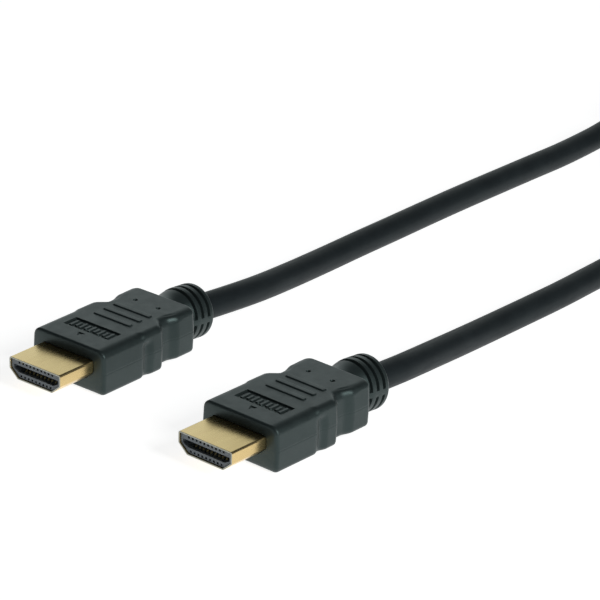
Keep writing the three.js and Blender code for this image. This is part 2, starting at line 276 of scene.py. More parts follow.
@dataclass
class NodeTree:
    """A node tree that is built in code, with short ways to add and feed its nodes."""

    name: str

    def feed(self, value: object, socket: bpy.types.NodeSocket) -> None:
        """Gives a socket its value: another socket's or a constant."""
        if isinstance(value, bpy.types.NodeSocket):
            self.tree.links.new(value, socket)
        else:
            socket.default_value = value

    def add(self, kind: str, **values: object) -> bpy.types.Node:
        """Adds a node.

        Args:
            kind: The node's type.
            values: What to set: a socket where the name is a socket's, otherwise a property.

        Returns:
            The node.
        """
        node = self.tree.nodes.new(kind)
        for key, value in values.items():
            socket = node.inputs.get(key.replace("_", " "))
            if socket is None:
                setattr(node, key, value)
            else:
                self.feed(value, socket)
        return node

    def math(self, operation: str, one: object, other: object) -> bpy.types.NodeSocket:
        """Adds one operation on two values, each a socket or a number."""
        node = self.add("ShaderNodeMath", operation=operation)
        self.feed(one, node.inputs[0])
        self.feed(other, node.inputs[1])
        return node.outputs[0]


@dataclass
class Shader(NodeTree):
    """The node tree of one material, with what the finishes have in common."""

    def __post_init__(self) -> None:
        """Makes the material and finds its surface shader."""
        self.material = bpy.data.materials.new(self.name)
        self.material.use_nodes = True
        self.tree = self.material.node_tree
        self.surface = self.tree.nodes["Principled BSDF"]

    def set(self, **values: object) -> None:
        """Sets the surface shader's own sockets."""
        for key, value in values.items():
            self.surface.inputs[key.replace("_", " ")].default_value = value

    def noise(self, grain: float, stretch: tuple = (1, 1, 1), detail: float = 3.0) -> bpy.types.NodeSocket:
        """Noise on the piece's object coordinates.

        Args:
            grain: The size of its grain in mm.
            stretch: How much closer the grain is along each axis.
            detail: How many finer layers it has.

        Returns:
            The noise's value.
        """
        place = self.add("ShaderNodeTexCoord").outputs["Object"]
        mapping = self.add("ShaderNodeMapping", Vector=place, Scale=stretch)
        pattern = self.add(
            "ShaderNodeTexNoise", Vector=mapping.outputs["Vector"], Scale=1.0 / (grain * MM), Detail=detail,
            Roughness=NOISE_ROUGHNESS,
        )
        return pattern.outputs["Fac"]

    def span(self, source: bpy.types.NodeSocket, low: float, high: float, socket: str) -> None:
        """Leads a pattern's value, spread between low and high, to a socket of the surface shader."""
        first, last = NOISE_RANGE
        spread = self.add(
            "ShaderNodeMapRange", Value=source, From_Min=first, From_Max=last, To_Min=low, To_Max=high,
        )
        self.feed(spread.outputs["Result"], self.surface.inputs[socket])

    def tint(self, source: bpy.types.NodeSocket, one: tuple, other: tuple) -> None:
        """Varies the base colour between two colours by a pattern."""
        blend = self.add("ShaderNodeValToRGB", Fac=source)
        set_ramp(blend.color_ramp, TINT_RANGE, (one, other))
        self.feed(blend.outputs["Color"], self.surface.inputs["Base Color"])

    def relief(self, source: bpy.types.NodeSocket, height: float, strength: float) -> None:
        """Raises a pattern as a fine relief of a height in mm."""
        bump = self.add("ShaderNodeBump", Height=source, Strength=strength, Distance=height * MM)
        self.feed(bump.outputs["Normal"], self.surface.inputs["Normal"])


@dataclass(frozen=True)
class GripPlastic:
    """The grips' near-black moulded plastic, satin with a fine spark-eroded grain."""

    dark: tuple = (0.0152, 0.0208, 0.0210)
    light: tuple = (0.0182, 0.0246, 0.0250)
    gloss: tuple = (0.36, 0.44)
    cloud: float = 4.0
    grain: float = 0.28
    depth: float = 0.012
    mirror: tuple = (0.70, 0.96, 0.93, 1.0)

    def build(self) -> bpy.types.Material:
        """Makes the material."""
        shader = Shader("grip satin plastic")
        shader.tint(shader.noise(self.cloud, detail=4.0), self.dark, self.light)
        shader.span(shader.noise(self.cloud * 0.6), *self.gloss, "Roughness")
        shader.relief(shader.noise(self.grain, detail=2.0), self.depth, 0.6)
        shader.set(IOR=1.46, Specular_Tint=self.mirror)
        return shader.material


@dataclass(frozen=True)
class SheathPlastic:
    """The cable's extruded sheath, duller than the grips, drawn out along its length."""

    dark: tuple = (0.0128, 0.0165, 0.0184)
    light: tuple = (0.0160, 0.0205, 0.0226)
    gloss: tuple = (0.42, 0.50)
    cloud: float = 6.0
    grain: float = 0.5
    drawn: float = 0.12
    depth: float = 0.010
    mirror: tuple = (0.75, 1.0, 1.0, 1.0)

    def build(self) -> bpy.types.Material:
        """Makes the material, with streaks that follow the cable by its own attributes."""
        shader = Shader("cable satin sheath")
        rim = shader.add("ShaderNodeAttribute", attribute_name="rim")
        along = shader.add("ShaderNodeAttribute", attribute_name="along")
        split = shader.add("ShaderNodeSeparateXYZ", Vector=rim.outputs["Vector"])
        gather = shader.add(
            "ShaderNodeCombineXYZ", X=split.outputs["X"], Y=split.outputs["Y"],
            Z=shader.math("MULTIPLY", along.outputs["Fac"], self.drawn),
        )
        streak = shader.add(
            "ShaderNodeTexNoise", Vector=gather.outputs["Vector"], Scale=1.0 / (self.grain * MM), Detail=3.0,
        )
        shader.tint(shader.noise(self.cloud), self.dark, self.light)
        shader.span(streak.outputs["Fac"], *self.gloss, "Roughness")
        shader.relief(streak.outputs["Fac"], self.depth, 0.5)
        shader.set(IOR=1.20, Specular_Tint=self.mirror)
        return shader.material


@dataclass(frozen=True)
class GoldPlate:
    """Pale gold plating on sheet metal, bright with faint rolling marks along the sheet."""

    name: str = "pale gold plating"
    dark: tuple = (0.69, 0.52, 0.24)
    light: tuple = (0.72, 0.55, 0.26)
    gloss: tuple = (0.26, 0.29)
    grain: float = 1.0

    def build(self) -> bpy.types.Material:
        """Makes the material."""
        shader = Shader(self.name)
        shader.tint(shader.noise(self.grain * 6), self.dark, self.light)
        marks = shader.noise(self.grain, stretch=(1.0, 0.12, 1.0), detail=1.0)
        shader.span(marks, *self.gloss, "Roughness")
        shader.set(Metallic=1.0)
        return shader.material


@dataclass(frozen=True)
class CutMetal:
    """The bare silvery edge where the plated sheet was cut."""

    dark: tuple = (0.34, 0.35, 0.30)
    light: tuple = (0.42, 0.42, 0.36)
    gloss: tuple = (0.42, 0.55)

    def build(self) -> bpy.types.Material:
        """Makes the material."""
        shader = Shader("cut sheet edge")
        shader.tint(shader.noise(0.4), self.dark, self.light)
        shader.span(shader.noise(0.2), *self.gloss, "Roughness")
        shader.set(Metallic=1.0)
        return shader.material


@dataclass(frozen=True)
class Resin:
    """The insulator's matt blue-grey moulded resin."""

    dark: tuple = (0.105, 0.125, 0.140)
    light: tuple = (0.125, 0.148, 0.162)
    gloss: tuple = (0.42, 0.55)

    def build(self) -> bpy.types.Material:
        """Makes the material."""
        shader = Shader("insulator resin")
        shader.tint(shader.noise(1.2), self.dark, self.light)
        shader.span(shader.noise(0.5), *self.gloss, "Roughness")
        shader.relief(shader.noise(0.12), 0.006, 0.5)
        return shader.material


@dataclass(frozen=True)
class Webbing:
    """The strap's napped loop fabric."""

    dark: tuple = (0.003, 0.003, 0.0035)
    light: tuple = (0.020, 0.020, 0.022)
    loop: float = 0.5

    def build(self) -> bpy.types.Material:
        """Makes the material."""
        shader = Shader("strap loop fabric")
        nap = shader.noise(self.loop, detail=6.0)
        shader.tint(nap, self.dark, self.light)
        shader.relief(nap, 0.35, 1.0)
        shader.set(Roughness=1.0, Specular_IOR_Level=0.1, Sheen_Weight=0.12, Sheen_Roughness=0.6)
        return shader.material


@dataclass(frozen=True)
class Paper:
    """The white studio floor, lit from below like a light table."""

    dark: tuple = (0.46, 0.46, 0.46)
    light: tuple = (0.50, 0.50, 0.50)
    glow: float = 0.86

    def build(self) -> bpy.types.Material:
        """Makes the material."""
        shader = Shader("studio light table")
        shader.tint(shader.noise(40.0), self.dark, self.light)
        shader.set(Roughness=0.9, Specular_IOR_Level=0.0)
        shader.set(Emission_Color=(1.0, 1.0, 1.0, 1.0), Emission_Strength=self.glow)
        return shader.material


@dataclass
class GeometryRecipe(NodeTree):
    """A Geometry Nodes tree that is built here, run once on a piece and made a plain mesh."""

    def __post_init__(self) -> None:
        """Makes the tree with its geometry input and output."""
        self.tree = bpy.data.node_groups.new(self.name, "GeometryNodeTree")
        for way in ("INPUT", "OUTPUT"):
            self.tree.interface.new_socket("Geometry", in_out=way, socket_type="NodeSocketGeometry")
        self.entry = self.tree.nodes.new("NodeGroupInput")
        self.exit = self.tree.nodes.new("NodeGroupOutput")
        self.identifiers: dict[str, str] = {}

    def size(self, name: str, kind: str = "NodeSocketFloat") -> bpy.types.NodeSocket:
        """Adds a named input and returns its socket inside the tree."""
        socket = self.tree.interface.new_socket(name, in_out="INPUT", socket_type=kind)
        self.identifiers[name] = socket.identifier
        return self.entry.outputs[name]

    def close(self, geometry: bpy.types.NodeSocket) -> None:
        """Ends the tree in Realize Instances and Set Material."""
        real = self.add("GeometryNodeRealizeInstances", Geometry=geometry)
        paint = self.add(
            "GeometryNodeSetMaterial", Geometry=real.outputs["Geometry"],
            Material=self.size("Material", "NodeSocketMaterial"),
        )
        self.feed(paint.outputs["Geometry"], self.exit.inputs["Geometry"])

    def run(self, source: bpy.types.Object, **values: object) -> bpy.types.Object:
        """Runs the tree on an object and makes the result a plain mesh.

        Args:
            source: The object that the tree starts from, which is removed.
            values: The inputs by name, with underscores for spaces.

        Returns:
            The new object, under the same name.
        """
        modifier = source.modifiers.new(self.name, "NODES")
        modifier.node_group = self.tree
        for key, value in values.items():
            modifier[self.identifiers[key.replace("_", " ")]] = value
        seen = source.evaluated_get(bpy.context.evaluated_depsgraph_get())
        mesh = bpy.data.meshes.new_from_object(seen)
        name = source.name
        bpy.data.objects.remove(source)
        mesh.name = name
        return add_object(name, mesh)


def tube_recipe() -> GeometryRecipe:
    """A round tube along a curve, with the attributes that its finish follows."""
    recipe = GeometryRecipe("round tube")
    half = recipe.math("MULTIPLY", recipe.size("Diameter"), 0.5)
    sides = recipe.size("Sides", "NodeSocketInt")
    circle = recipe.add("GeometryNodeCurvePrimitiveCircle", Radius=half, Resolution=sides)
    rim = recipe.add(
        "GeometryNodeStoreNamedAttribute", data_type="FLOAT_VECTOR", domain="POINT", Name="rim",
        Geometry=circle.outputs["Curve"], Value=recipe.add("GeometryNodeInputPosition").outputs["Position"],
    )
    along = recipe.add(
        "GeometryNodeStoreNamedAttribute", data_type="FLOAT", domain="POINT", Name="along",
        Geometry=recipe.entry.outputs["Geometry"],
        Value=recipe.add("GeometryNodeSplineParameter").outputs["Length"],
    )
    tube = recipe.add(
        "GeometryNodeCurveToMesh", Curve=along.outputs["Geometry"], Profile_Curve=rim.outputs["Geometry"],
        Fill_Caps=True,
    )
    shade = recipe.add("GeometryNodeSetShadeSmooth", Geometry=tube.outputs["Mesh"])
    recipe.close(shade.outputs["Geometry"])
    return recipe


def band_recipe() -> GeometryRecipe:
    """A flat band along a curve, with rounded edges."""
    recipe = GeometryRecipe("flat band")
    width, thickness = recipe.size("Width"), recipe.size("Thickness")
    section = recipe.add(
        "GeometryNodeCurvePrimitiveQuadrilateral", mode="RECTANGLE", Width=width, Height=thickness,
    )
    soften = recipe.add(
        "GeometryNodeFilletCurve", mode="POLY", Curve=section.outputs["Curve"], Count=3,
        Radius=recipe.math("MULTIPLY", thickness, 0.4),
    )
    band = recipe.add(
        "GeometryNodeCurveToMesh", Curve=recipe.entry.outputs["Geometry"],
        Profile_Curve=soften.outputs["Curve"], Fill_Caps=True,
    )
    recipe.close(band.outputs["Mesh"])
    return recipe


def rows_recipe() -> GeometryRecipe:
    """Copies of one spring contact in an upper row and a lower row turned upside down."""
    recipe = GeometryRecipe("contact rows")
    pitch = recipe.size("Pitch")
    counts = [recipe.size(name, "NodeSocketInt") for name in ("Upper Count", "Lower Count")]
    both = recipe.add("GeometryNodeJoinGeometry")
    for count, turn in zip(counts, (0.0, math.pi)):
        reach = recipe.math("MULTIPLY", recipe.math("SUBTRACT", count, 1.0), pitch)
        start = recipe.add("ShaderNodeCombineXYZ", X=recipe.math("MULTIPLY", reach, -0.5))
        step = recipe.add("ShaderNodeCombineXYZ", X=pitch)
        line = recipe.add(
            "GeometryNodeMeshLine", mode="OFFSET", Count=count, Start_Location=start.outputs["Vector"],
            Offset=step.outputs["Vector"],
        )
        copies = recipe.add(
            "GeometryNodeInstanceOnPoints", Points=line.outputs["Mesh"],
            Instance=recipe.entry.outputs["Geometry"], Rotation=(0.0, turn, 0.0),
        )
        recipe.feed(copies.outputs["Instances"], both.inputs["Geometry"])
    recipe.close(both.outputs["Geometry"])
    return recipe


def curve_object(name: str, points: np.ndarray, closed: bool = False) -> bpy.types.Object:
    """An object with one straight-line spline through points, in metres."""
    curve = bpy.data.curves.new(name, "CURVE")
    curve.dimensions = "3D"
    spline = curve.splines.new("POLY")
    spline.points.add(len(points) - 1)
    spline.points.foreach_set("co", np.hstack([points, np.ones((len(points), 1))]).ravel())
    spline.use_cyclic_u = closed
    return add_object(name, curve)


@dataclass(frozen=True)
class PhotoCamera:
    """The camera at the photograph's place, in metres and degrees."""

    place: tuple = (0.42077, -0.46345, 0.27173)
    azimuth: float = 40.523
    elevation: float = 21.684
    roll: float = 3.302
    lens: float = 205.56
    sensor: float = 36.0
    clip: tuple = (0.01, 20.0)

    def build(self) -> None:
        """Makes the camera and looks through it."""
        azimuth, elevation, roll = map(math.radians, (self.azimuth, self.elevation, self.roll))
        back = Vector((
            math.sin(azimuth) * math.cos(elevation),
            -math.cos(azimuth) * math.cos(elevation),
            math.sin(elevation),
        ))
        level = Vector((math.cos(azimuth), math.sin(azimuth), 0.0))
        upright = back.cross(level)
        right = level * math.cos(roll) + upright * math.sin(roll)
        up = upright * math.cos(roll) - level * math.sin(roll)
        data = bpy.data.cameras.new("photo camera")
        data.lens = self.lens
        data.sensor_width = self.sensor
        data.clip_start, data.clip_end = self.clip
        camera = add_object("photo camera", data)
        turn = Matrix((right, up, back)).transposed().to_4x4()
        camera.matrix_world = Matrix.Translation(self.place) @ turn
        bpy.context.scene.camera = camera


@dataclass(frozen=True)
class Studio:
    """A glowing white floor in a dark room, with a bright wall behind and a softbox on the right."""

    floor_size: float = 8.0
    room: tuple = (0.030, 0.033, 0.036)
    wall: tuple = (0.88, 0.95, 0.95)
    wall_way: tuple = (-0.62, 0.72, 0.27)
    wall_reach: tuple = (0.76, 0.985)
    key_way: tuple = (0.86, 0.02, 0.50)
    key_distance: float = 1.6
    key_size: float = 0.7
    key_power: float = 17.0

    def build(self) -> None:
        """Makes the floor, the room and the light."""
        half = self.floor_size / 2
        corners = np.array([(-half, -half, 0), (half, -half, 0), (half, half, 0), (-half, half, 0)])
        floor = mesh_object("studio_floor", corners, [(0, 1, 2, 3)])
        dress(floor, Paper().build())
        self.surround()
        self.softbox("right softbox", Vector(self.key_way) * self.key_distance)
        bpy.context.scene.view_settings.view_transform = "Standard"

    def surround(self) -> None:
        """The world: a bright wall in one direction that fades into a dark room."""
        world = bpy.data.worlds.new("studio room")
        bpy.context.scene.world = world
        world.use_nodes = True
        nodes = NodeTree(world.name)
        nodes.tree = world.node_tree
        toward = nodes.add("ShaderNodeVectorMath", operation="DOT_PRODUCT")
        nodes.feed(nodes.add("ShaderNodeTexCoord").outputs["Generated"], toward.inputs[0])
        nodes.feed(Vector(self.wall_way).normalized(), toward.inputs[1])
        shade = nodes.add("ShaderNodeValToRGB", Fac=toward.outputs["Value"])
        shade.color_ramp.interpolation = "EASE"
        set_ramp(shade.color_ramp, self.wall_reach, (self.room, self.wall))
        backdrop = nodes.tree.nodes["Background"]
        nodes.feed(shade.outputs["Color"], backdrop.inputs["Color"])
        nodes.feed(1.0, backdrop.inputs["Strength"])

    def softbox(self, name: str, place: Vector) -> None:
        """A square area light that faces the object."""
        data = bpy.data.lights.new(name, "AREA")
        data.size = self.key_size
        data.energy = self.key_power
        lamp = add_object(name, data)
        lamp.location = place
        lamp.rotation_mode = "QUATERNION"
        lamp.rotation_quaternion = place.to_track_quat("Z", "Y")


@dataclass(frozen=True)
class Boot:
    """The ringed strain relief at the rear of a grip. Its axis sags a little to the floor."""

    radius: float = 5.8
    length: float = 9.1
    root: float = 2.7
    neck: float = 0.85
    neck_run: tuple = (2.6, 7.6)
    sag: float = 5.2
    end_round: float = 0.6
    grooves: int = 3
    groove_pitch: float = 1.9
    groove_width: float = 0.72
    groove_depth: float = 0.6
    end_ring: float = 1.35
    web: float = 1.4
    web_run: tuple = (0.15, 0.25)
    wall_run: float = 0.16
    sides: int = 120
    line_pitch: float = 0.45
    root_pitch: float = 0.15
    hole: float = 2.95
    hole_rim: float = 0.25
    hole_slant: float = 0.12
    hole_depth: float = 1.5
    stand: float = 11.6
    sharp: float = 38.0

    @property
    def whole(self) -> float:
        """The length along the axis from the root to the end."""
        return self.root + self.length

    def groove_starts(self) -> list[float]:
        """Where each groove begins along the axis."""
        last = self.whole - self.end_ring - self.groove_width
        return [last - i * self.groove_pitch for i in range(self.grooves)]

    def profile(self, along: np.ndarray, angle: np.ndarray) -> np.ndarray:
        """The distance of the surface from the axis.

        Args:
            along: Places along the axis.
            angle: Directions round it, from the right-hand side upwards.

        Returns:
            The radius at each place and direction.
        """
        cut = np.zeros(np.broadcast(along, angle).shape)
        for start in self.groove_starts():
            cut = cut + plateau(along, start, start + self.groove_width, self.wall_run)
        height = np.abs(self.radius * np.sin(angle))
        inner, outer = self.web_run
        open_share = smooth(height, self.web / 2 - inner, self.web / 2 + outer)
        taper = self.neck * (1 - smooth(along, *self.neck_run)) + round_over(along, self.groove_depth)
        return self.radius - self.groove_depth * cut * open_share - taper

    def build(self, name: str, grip_length: float, grip_height: float, place: Matrix) -> bpy.types.Object:
        """Makes the boot as a ring-shaped grid closed at both ends.

        Args:
            name: The piece's name.
            grip_length: The length of the grip in front of it.
            grip_height: The height of the grip in front of it.
            place: The plug's place in the part's frame.

        Returns:
            The finished piece.
        """
        marks = []
        for start in self.groove_starts():
            for edge in (start, start + self.groove_width):
                marks += [edge - self.wall_run / 2, edge + self.wall_run / 2]
        fine = [(0.0, self.groove_depth, self.root_pitch)]
        along = lines(0.0, self.whole - self.end_round, self.line_pitch, marks, fine)
        angle = np.linspace(0.0, 2 * math.pi, self.sides, endpoint=False)
        radius = self.profile(along[:, None], angle[None, :])
        rows = [(a, r) for a, r in zip(along, radius)]
        for t in np.linspace(0.0, math.pi / 2, 6)[1:]:
            back = self.radius - self.end_round * (1 - math.cos(t))
            rows.append((self.whole - self.end_round * (1 - math.sin(t)), np.full(self.sides, back)))
        rows.append((self.whole, np.full(self.sides, self.hole + self.hole_rim)))
        rows.append((self.whole - self.hole_slant, np.full(self.sides, self.hole)))
        rows.append((self.whole - self.hole_depth, np.full(self.sides, self.hole)))
        points = np.concatenate([
            np.stack([r * np.cos(angle), np.full(self.sides, a), r * np.sin(angle)], 1) for a, r in rows
        ])
        faces = grid_faces(len(rows), self.sides)
        faces.append(tuple(range(self.sides)))
        last = (len(rows) - 1) * self.sides
        faces.append(tuple(range(last + self.sides - 1, last - 1, -1)))
        piece = mesh_object(name, points, faces)
        lean = Matrix.Rotation(-math.radians(self.sag), 4, "X")
        seat = Matrix.Translation((0.0, grip_length - self.root, grip_height / 2))
        finish_mesh(piece, place @ seat @ lean, self.sharp)
        return piece


@dataclass(frozen=True)
class Grip:
    """The overmould's body, from its front face at y = 0 and its underside at z = 0."""

    length: float = 28.7
    height: float = 9.9
    half_width: float = 9.9
    draft: float = 0.3
    front_corner: float = 0.8
    front_edge: float = 0.6
    rear_corner: float = 1.2
    rear_edge: float = 0.5
    low_edge: float = 1.2
    foot_edge: float = 1.2
    edge_run: tuple = (2.1, (-0.5, 11.3, 12.6), (0.2, 16.5, 19.5))
    edge_fall: tuple = (1.8, (-0.4, 11.3, 12.6), (0.7, 16.0, 19.5), (-0.9, 22.0, 26.0))
    edge_steps: int = 14
    edge_sink: float = 0.03
    crown: float = 0.05
    wall_lines: int = 12
    under_lines: int = 8
    waist_depth: float = 1.85
    waist_front: tuple = (16.9, 19.6)
    waist_rear: tuple = (21.0, 23.8)
    rear_inset: float = 1.1
    scoop_depth: float = 0.12
    scoop_rim: float = 0.34
    scoop_front: tuple = (20.4, 22.0)
    scoop_rear: tuple = (22.4, 25.4)
    flute_depth: float = 0.5
    flute_front: tuple = (11.2, 12.7)
    flute_rear: tuple = (13.0, 14.9)
    flute_low: tuple = (-0.5, -0.1)
    flute_high: tuple = (6.9, 8.3)
    parting_depth: float = 0.035
    parting_width: float = 0.12
    label: tuple = (12.3, 3.8, 7.14)
    label_depth: float = 0.4
    bar_count: int = 9
    bar_pitch: float = 1.22
    bar_width: float = 0.62
    bar_length: float = 2.5
    short_bar: float = 0.72
    bar_rise: float = 0.28
    ribs: tuple = (13.27, 16.17, 19.07)
    rib_half: float = 5.0
    rib_width: float = 1.2
    rib_rise: float = 0.22
    rib_corner: float = 0.5
    rib_run: float = 0.16
    dimples: tuple = (3.15, 23.34)
    dimple_radius: float = 0.52
    dimple_floor: float = 0.3
    dimple_depth: float = 0.7
    arrow: tuple = (1.6, 1.45, 4.2)
    arrow_depth: float = 0.22
    wall_run: float = 0.1
    fixed_half: float = 5.35
    seat_depth: float = 2.0
    ring_share: float = 0.85
    across_pitch: float = 0.7
    along_pitch: float = 0.6
    detail_pitch: float = 0.11
    sharp: float = 34.0

    def edge_drop(self, y: np.ndarray, bend: np.ndarray) -> np.ndarray:
        """How far the rounded edge lies under the top, with the scoop at the waist.

        Args:
            y: The place along the grip.
            bend: The angle round the edge, from the top's to the wall's.

        Returns:
            The depth under the top.
        """
        fall = eased(y, *self.edge_fall)
        plain = fall * (1 - np.cos(bend))
        out = np.sin(bend)
        rim = np.clip((out - self.scoop_rim) / (1 - self.scoop_rim), 0, 1)
        scoop = self.scoop_depth * smooth(out, 0.0, self.scoop_rim * 0.7)
        scoop = scoop + (fall - self.scoop_depth) * (1 - np.sqrt(1 - rim * rim))
        share = smooth(y, *self.scoop_front) * (1 - smooth(y, *self.scoop_rear))
        return plain * (1 - share) + scoop * share

    def wall(self, y: np.ndarray, z: np.ndarray) -> np.ndarray:
        """How far the side wall stands from the middle.

        Args:
            y: Places along the grip.
            z: Heights on the wall.

        Returns:
            The distance to the wall.
        """
        middle = self.height / 2
        lean = self.draft * np.abs(z - middle) / middle
        waist = smooth(y, *self.waist_front)
        rear = smooth(y, *self.waist_rear)
        inset = self.waist_depth * waist * (1 - rear) + self.rear_inset * rear
        flute = smooth(y, *self.flute_front) * (1 - smooth(y, *self.flute_rear))
        tall = smooth(z, *self.flute_low) * (1 - smooth(z, *self.flute_high))
        corner = round_over(y, self.front_corner) + round_over(self.length - y, self.rear_corner)
        seam = self.parting_depth * np.clip(1 - np.abs(z - middle) / self.parting_width, 0, 1)
        return self.half_width - lean - inset - self.flute_depth * flute * tall - corner - seam

    def bar_places(self) -> list[float]:
        """The middles of the plain raised bars in the label recess."""
        first = -(self.bar_count - 1) / 2 * self.bar_pitch
        return [first + i * self.bar_pitch for i in range(self.bar_count)]

    def relief(self, x: np.ndarray, y: np.ndarray) -> np.ndarray:
        """What is moulded in the top: the label recess with its bars, the arrow, ribs and dimples.

        Args:
            x: Places across the grip.
            y: Places along it.

        Returns:
            The height above the plain top.
        """
        width, depth, middle = self.label
        run = self.wall_run
        along = plateau(y, middle - depth / 2, middle + depth / 2, run)
        height = -self.label_depth * along * plateau(x, -width / 2, width / 2, run)
        for i, place in enumerate(self.bar_places()):
            reach = self.bar_length / 2 * (1.0 if i % 2 == 0 else self.short_bar)
            bar = plateau(x, place - self.bar_width / 2, place + self.bar_width / 2, run)
            height = height + self.bar_rise * bar * plateau(y, middle - reach, middle + reach, run)
        for place in self.ribs:
            dx = np.maximum(np.abs(x) - self.rib_half + self.rib_corner, 0)
            dy = np.maximum(np.abs(y - place) - self.rib_width / 2 + self.rib_corner, 0)
            height = height + self.rib_rise * (1 - ramp(np.hypot(dx, dy), self.rib_corner, self.rib_run))
        away = np.hypot(np.abs(x) - self.dimples[0], y - self.dimples[1])
        height = height - self.dimple_depth * (1 - smooth(away, self.dimple_floor, self.dimple_radius))
        width, depth, base = self.arrow
        slope = 0.5 * width * (1 - (base - y) / depth)
        inside = plateau(y, base - depth, base, run) * ramp(slope - np.abs(x), 0.0, run)
        return height - self.arrow_depth * inside

    def across(self) -> np.ndarray:
        """The lines across the right half of the top, on the front block's scale."""
        width = self.label[0]
        run = self.wall_run / 2
        edges = [width / 2]
        for place in self.bar_places():
            edges += [place - self.bar_width / 2, place + self.bar_width / 2]
        marks = [abs(edge) + side * run for edge in edges for side in (-1, 1)]
        fine = [
            (self.rib_half - self.rib_corner, self.rib_half + 0.1, 0.12),
            (self.dimples[0] - self.dimple_radius, self.dimples[0] + self.dimple_radius, self.detail_pitch),
            (0.0, self.arrow[0] / 2 + 0.1, 0.15),
        ]
        return lines(0.0, self.front_top_half(), self.across_pitch, marks, fine)

    def front_top_half(self) -> float:
        """Half the width of the flat top on the front block."""
        level = np.array(6.0)
        fall, run = eased(level, *self.edge_fall), eased(level, *self.edge_run)
        return float(self.wall(level, self.height - fall) - run)

    def along(self) -> np.ndarray:
        """The lines along the grip."""
        _, depth, middle = self.label
        run = self.wall_run / 2
        edges = [middle - depth / 2, middle + depth / 2]
        for share in (1.0, self.short_bar):
            edges += [middle - share * self.bar_length / 2, middle + share * self.bar_length / 2]
        base = self.arrow[2]
        marks = [edge + side * run for edge in [*edges, base] for side in (-1, 1)]
        fine = [
            (0.0, self.front_edge, 0.1),
            (self.front_edge, self.foot_edge, 0.15),
            (base - self.arrow[1] - 0.1, base, 0.15),
            (self.flute_front[0], self.flute_rear[1], 0.25),
            (self.waist_front[0], self.waist_rear[1], 0.3),
            (self.dimples[1] - self.dimple_radius, self.dimples[1] + self.dimple_radius, self.detail_pitch),
            (self.length - self.rear_corner, self.length, 0.14),
        ]
        for place in self.ribs:
            low, high = place - self.rib_width / 2, place + self.rib_width / 2
            fine.append((low - 0.09, low + self.rib_corner, self.detail_pitch))
            fine.append((high - self.rib_corner, high + 0.09, self.detail_pitch))
        return lines(0.0, self.length, self.along_pitch, marks, fine)

    def section(self, y: float, across: np.ndarray) -> np.ndarray:
        """The closed outline of the grip at one place.

        Args:
            y: The place along the grip.
            across: The lines across the right half of the top, on the front block's scale.

        Returns:
            The outline's points, from the middle of the top round to the right.
        """
        here = np.array(y)
        rear_drop = float(round_over(self.length - here, self.rear_edge))
        top = self.height - float(round_over(here, self.front_edge)) - rear_drop
        foot = float(round_over(here, self.foot_edge)) + rear_drop
        fall, run = float(eased(here, *self.edge_fall)), float(eased(here, *self.edge_run))
        shoulder = float(self.wall(here, np.array(top - fall)))
        flat = shoulder - run
        scale = (flat - self.fixed_half) / (across[-1] - self.fixed_half)
        x = np.where(across > self.fixed_half, self.fixed_half + (across - self.fixed_half) * scale, across)
        crown = self.crown * (x / self.half_width) ** 2
        bend = np.linspace(0.0, math.pi / 2, self.edge_steps + 1)[1:]
        arc = np.stack([flat + run * np.sin(bend), top - self.edge_sink - self.edge_drop(here, bend)], 1)
        middle = self.height / 2
        seam = [self.parting_width, self.parting_width / 2, 0.0, -self.parting_width / 2, -self.parting_width]
        rest = foot + self.low_edge
        heights = np.concatenate([
            np.linspace(top - self.edge_sink - fall, middle + seam[0], self.wall_lines + 2)[1:-1],
            [middle + s for s in seam],
            np.linspace(middle + seam[-1], rest, self.wall_lines + 1)[1:],
        ])
        side = np.stack([self.wall(here, heights), heights], 1)
        floor_half = side[-1, 0] - self.low_edge
        low = np.stack([
            floor_half + self.low_edge * np.cos(bend), rest - self.low_edge * np.sin(bend),
        ], 1)
        count = self.under_lines
        under = np.stack([np.linspace(floor_half, 0.0, count + 1)[1:], np.full(count, foot)], 1)
        right = np.concatenate([arc, side, low, under])
        halves = []
        for sign in (1, -1):
            rise = top - crown + self.relief(sign * x, here)
            top_strip = np.stack([x, rise], 1)
            half = np.concatenate([top_strip, right])
            halves.append(half * [sign, 1])
        outline = np.concatenate([halves[0], halves[1][-2:0:-1]])
        return np.stack([outline[:, 0], np.full(len(outline), y), outline[:, 1]], 1)

    def build(self, name: str, seat: np.ndarray, place: Matrix) -> bpy.types.Object:
        """Makes the body with the shell's seat in its front face.

        Args:
            name: The piece's name.
            seat: The outline of the hole for the shell, as angles and distances about its middle.
            place: The plug's place in the part's frame.

        Returns:
            The finished piece.
        """
        across = self.across()
        along = self.along()
        rows = [self.section(y, across) for y in along]
        count = len(rows[0])
        front = rows[0]
        middle = seat[0]
        angle = np.arctan2(front[:, 2] - middle[1], front[:, 0] - middle[0])
        reach = np.interp(angle, seat[1:, 0], seat[1:, 1], period=2 * math.pi)
        hole = np.stack([
            middle[0] + reach * np.cos(angle), np.zeros(count), middle[1] + reach * np.sin(angle),
        ], 1)
        deep = hole + [0.0, self.seat_depth, 0.0]
        ring = front * (1 - self.ring_share) + hole * self.ring_share
        rows = [deep, hole, ring, *rows]
        points = np.concatenate(rows)
        faces = grid_faces(len(rows), count)
        last = (len(rows) - 1) * count
        faces.append(tuple(range(last, last + count)))
        faces.append(tuple(range(count - 1, -1, -1)))
        piece = mesh_object(name, points, faces)
        finish_mesh(piece, place, self.sharp)
        return piece


